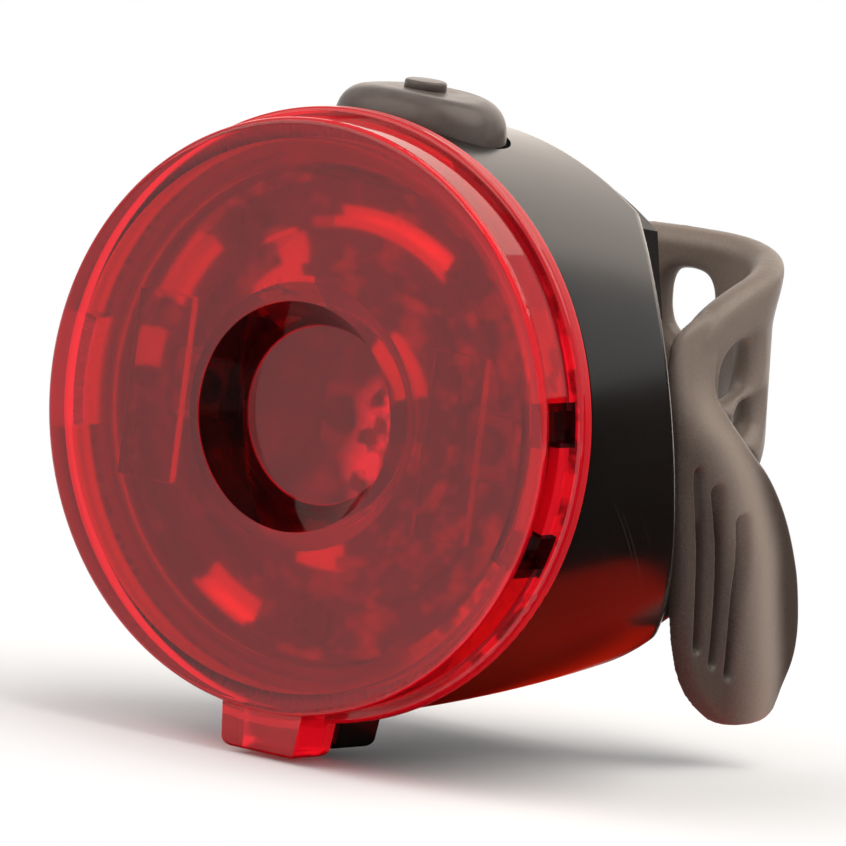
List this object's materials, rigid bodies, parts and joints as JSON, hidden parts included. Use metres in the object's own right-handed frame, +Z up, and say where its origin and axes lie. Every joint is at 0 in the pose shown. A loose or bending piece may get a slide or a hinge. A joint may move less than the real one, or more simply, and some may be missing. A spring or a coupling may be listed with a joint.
{
  "type": "bicycle rear light",
  "caption": "Round bicycle rear light: clear red lens cap, black housing with a top push button, and a rubber strap that loops round the seat post.",
  "frame": {"origin": "middle of the concave saddle that rests on the front of the seat post, on the lamp's left-right centre plane", "axes": "+Z up, +X to the lamp's left as seen from behind the bicycle, which is the right of a viewer who faces the lens; the light shines towards -Y and the seat post is on the +Y side, leaning back by 17.5 degrees at the top"},
  "size_m": [0.036, 0.0379, 0.0396],
  "materials": {
    "red_lens": "clear red moulded acrylic, polished",
    "seal_rubber": "flat black rubber",
    "black_gloss": "polished black moulding",
    "button_rubber": "soft matte dark grey rubber",
    "reflector_plastic": "black moulding with metallised patches",
    "board_laminate": "white solder mask",
    "led_plastic": "white package",
    "clear_resin": "clear resin dome",
    "chip_epoxy": "black epoxy",
    "capacitor_ceramic": "tan ceramic with tinned ends",
    "switch_plastic": "black moulding",
    "plunger_plastic": "pale moulding",
    "carrier_plastic": "fine-grained black moulding",
    "cell_steel": "nickel-plated steel, satin",
    "gasket_plastic": "milky moulding",
    "contact_nickel": "bright nickel plate",
    "screw_steel": "zinc-plated steel",
    "black_matte": "fine-grained black moulding",
    "pad_rubber": "matte black rubber",
    "pin_steel": "ground stainless steel",
    "strap_silicone": "satin brown-grey silicone"
  },
  "bodies": {
    "light": {"lens_seal": "seal_rubber", "housing": "black_gloss", "reflector": "reflector_plastic", "circuit_board": "board_laminate", "led_packages": "led_plastic", "led_lenses": "clear_resin", "controller_chip": "chip_epoxy", "chip_resistors": "chip_epoxy", "chip_capacitors": "capacitor_ceramic", "switch_body": "switch_plastic", "battery_carrier": "carrier_plastic", "cell_cans": "cell_steel", "cell_gaskets": "gasket_plastic", "cell_caps": "cell_steel", "positive_contact": "contact_nickel", "negative_contact": "contact_nickel", "board_screws": "screw_steel", "rear_bracket": "black_matte", "bracket_screws": "screw_steel", "mount_pad": "pad_rubber", "strap_pin": "pin_steel"},
    "cap": {"lens_cap": "red_lens"},
    "push_button": {"button": "button_rubber"},
    "plunger": {"switch_plunger": "plunger_plastic"},
    "strap": {"strap": "strap_silicone"}
  },
  "joints": [
    {"name": "cap_pull", "type": "slide", "parent": "light", "child": "cap", "axis": [0, -1, 0], "range_m": [0, 0.014]},
    {"name": "button_press", "type": "slide", "parent": "light", "child": "push_button", "axis": [0, 0, -1], "range_m": [0, 0.0006], "stiffness_N_per_m": 5000, "springref_m": -0.0001},
    {"name": "plunger_press", "type": "slide", "parent": "light", "child": "plunger", "axis": [0, 0, -1], "range_m": [0, 0.00025]},
    {"name": "strap_swing", "type": "hinge", "parent": "light", "child": "strap", "pos_m": [-0.0109, -0.00076, 0.00207], "axis": [0, -0.3007, 0.9537], "range_deg": [0, 60]}
  ],
  "couplings": [
    {"joint": "plunger_press", "follows": "button_press", "ratio": 0.4166}
  ]
}
